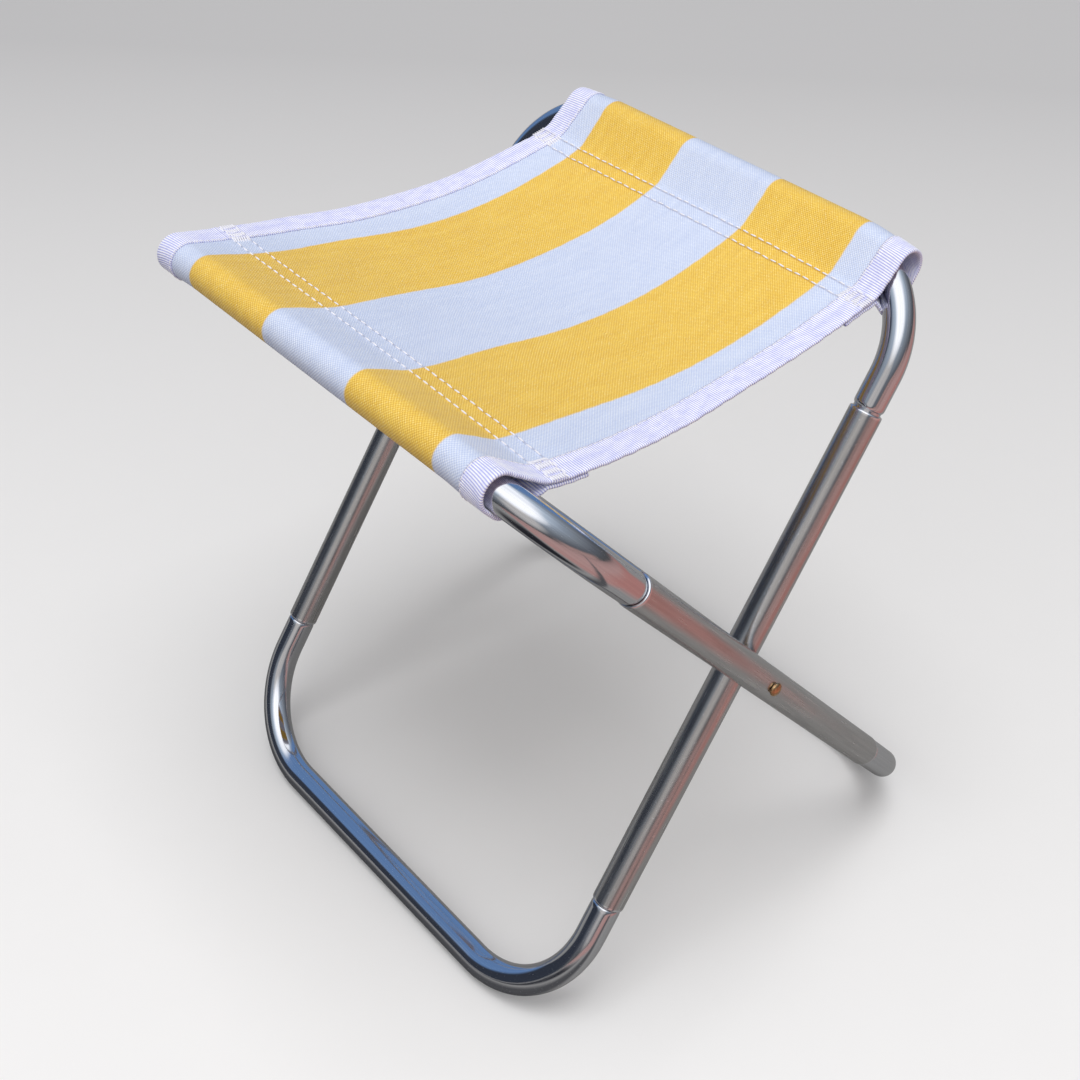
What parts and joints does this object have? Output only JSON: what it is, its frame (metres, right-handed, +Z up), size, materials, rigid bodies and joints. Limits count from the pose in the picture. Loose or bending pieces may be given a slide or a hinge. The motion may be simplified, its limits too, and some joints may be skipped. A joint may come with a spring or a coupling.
{
  "type": "folding stool",
  "caption": "Low folding stool: crossed tubular steel frames riveted at the sides, with a striped cloth seat sleeved over the top bars and bound with ribbed tape. Folds flat to carry.",
  "frame": {"origin": "on the floor, in the middle of the open stool's footprint", "axes": "+X from the outer frame's seat bar to the inner frame's seat bar, +Y along the bars to the left side, +Z up"},
  "size_m": [0.2658, 0.3226, 0.3421],
  "materials": {
    "polished_steel": "bright drawn steel tube with faint draw lines",
    "satin_steel": "satin grey plated steel tube",
    "brass": "brass-plated rivet, lightly worn",
    "nylon": "plain black nylon",
    "striped_cloth": "plain-weave synthetic cloth in broad yellow and white stripes",
    "ribbed_tape": "ribbed binding tape, lavender white"
  },
  "bodies": {
    "outer_frame": {"outer_seat_bar": "polished_steel", "outer_foot_bar": "polished_steel", "outer_left_leg": "satin_steel", "outer_right_leg": "satin_steel", "left_rivet": "brass", "right_rivet": "brass", "left_pivot_washer": "nylon", "right_pivot_washer": "nylon"},
    "inner_frame": {"inner_seat_bar": "polished_steel", "inner_foot_bar": "polished_steel", "inner_left_leg": "satin_steel", "inner_right_leg": "satin_steel"},
    "outer_seat": {"outer_seat_cloth": "striped_cloth", "outer_left_edge_tape": "ribbed_tape", "outer_right_edge_tape": "ribbed_tape", "outer_left_mouth_tape": "ribbed_tape", "outer_right_mouth_tape": "ribbed_tape"},
    "inner_seat": {"inner_seat_cloth": "striped_cloth", "inner_left_edge_tape": "ribbed_tape", "inner_right_edge_tape": "ribbed_tape", "inner_left_mouth_tape": "ribbed_tape", "inner_right_mouth_tape": "ribbed_tape"}
  },
  "joints": [
    {"name": "fold", "type": "hinge", "parent": "outer_frame", "child": "inner_frame", "pos_m": [0, 0, 0.1734], "axis": [0, -1, 0], "range_deg": [0, 67], "deforming": ["outer_seat_cloth", "inner_seat_cloth", "outer_left_edge_tape", "outer_right_edge_tape", "inner_left_edge_tape", "inner_right_edge_tape", "inner_right_mouth_tape"]},
    {"name": "outer_sleeve_turn", "type": "hinge", "parent": "outer_frame", "child": "outer_seat", "pos_m": [-0.1195, 0, 0.3315], "axis": [0, 1, 0], "range_deg": [0, 42]},
    {"name": "inner_sleeve_turn", "type": "hinge", "parent": "inner_frame", "child": "inner_seat", "pos_m": [0.1195, 0, 0.3315], "axis": [0, -1, 0], "range_deg": [0, 42]}
  ],
  "couplings": [
    {"joint": "outer_sleeve_turn", "follows": "fold", "ratio": 0.6134},
    {"joint": "inner_sleeve_turn", "follows": "fold", "ratio": 0.6134}
  ]
}
